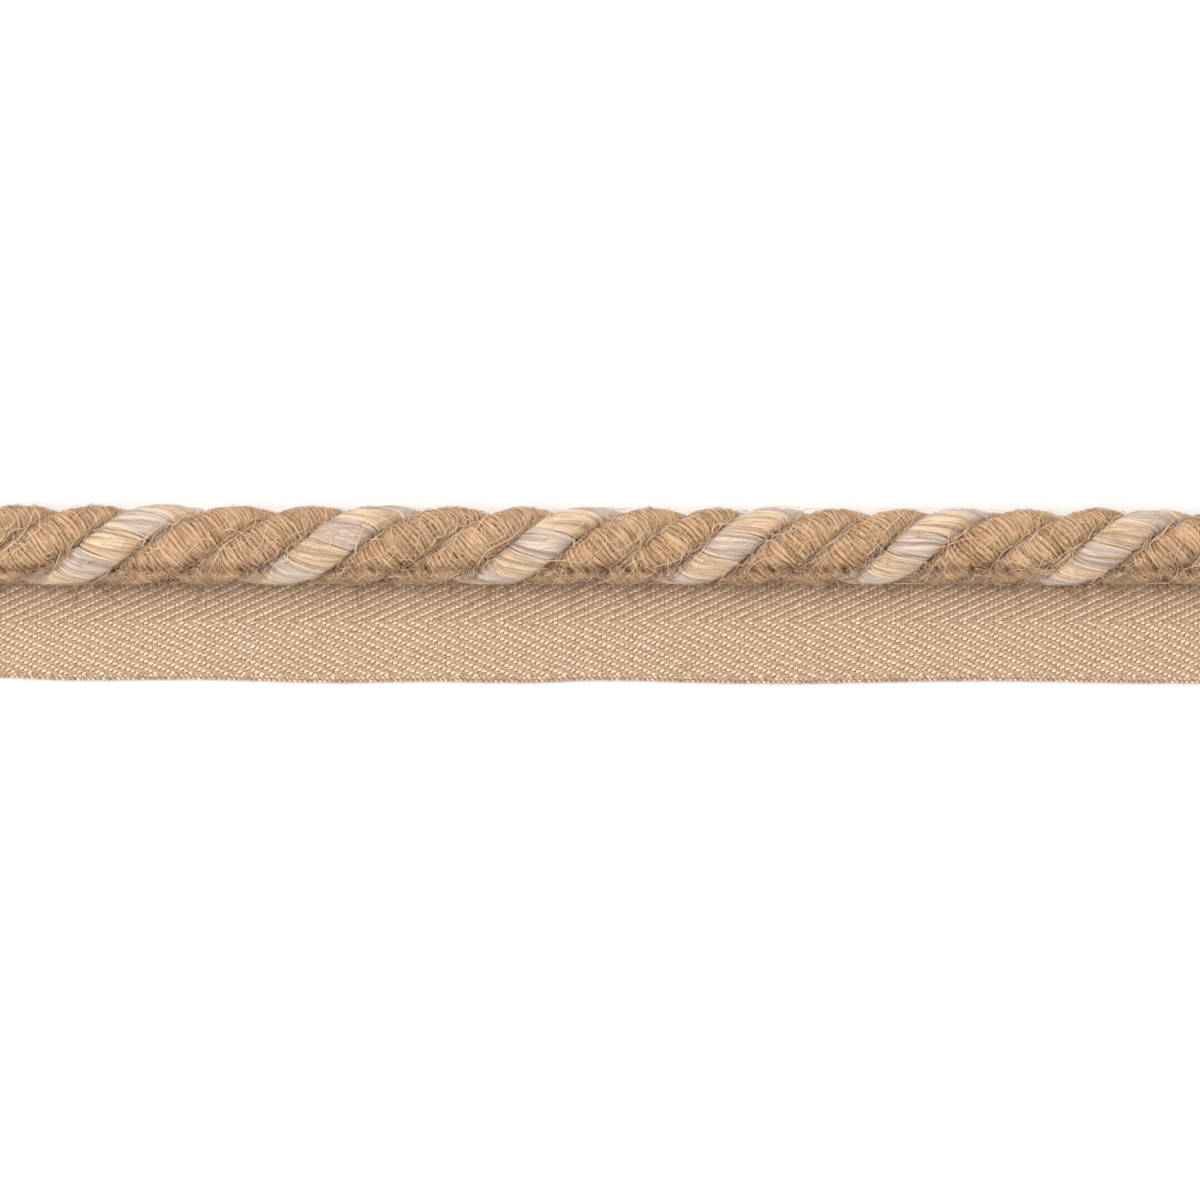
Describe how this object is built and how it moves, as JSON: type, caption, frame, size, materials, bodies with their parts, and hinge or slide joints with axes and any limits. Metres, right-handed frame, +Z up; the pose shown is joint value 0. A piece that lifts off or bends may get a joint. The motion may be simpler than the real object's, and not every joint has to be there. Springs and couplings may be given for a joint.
{
  "type": "decorative lip cord",
  "caption": "Twisted rope trim of beige gimp and pale floss strands, sewn along one side to a narrow herringbone tape that is set into a seam.",
  "frame": {"origin": "middle of the underside of the whole piece, on the surface it lies on", "axes": "+X along the cord, +Y from the tape's free edge towards the rope, +Z up from the surface"},
  "size_m": [0.168, 0.0222, 0.0099],
  "materials": {
    "tape": "woven herringbone twill with raised pale picks, matt",
    "gimp": "closely wrapped spun yarn, fuzzy, matt with a soft sheen on the wraps",
    "floss_silver": "silky floss, satin",
    "floss_cream": "silky floss, satin"
  },
  "bodies": {
    "root": {"tape": "tape", "gimp_strand_a": "gimp", "gimp_strand_b": "gimp", "pale_ply_silver": "floss_silver", "pale_ply_cream": "floss_cream"}
  },
  "joints": []
}
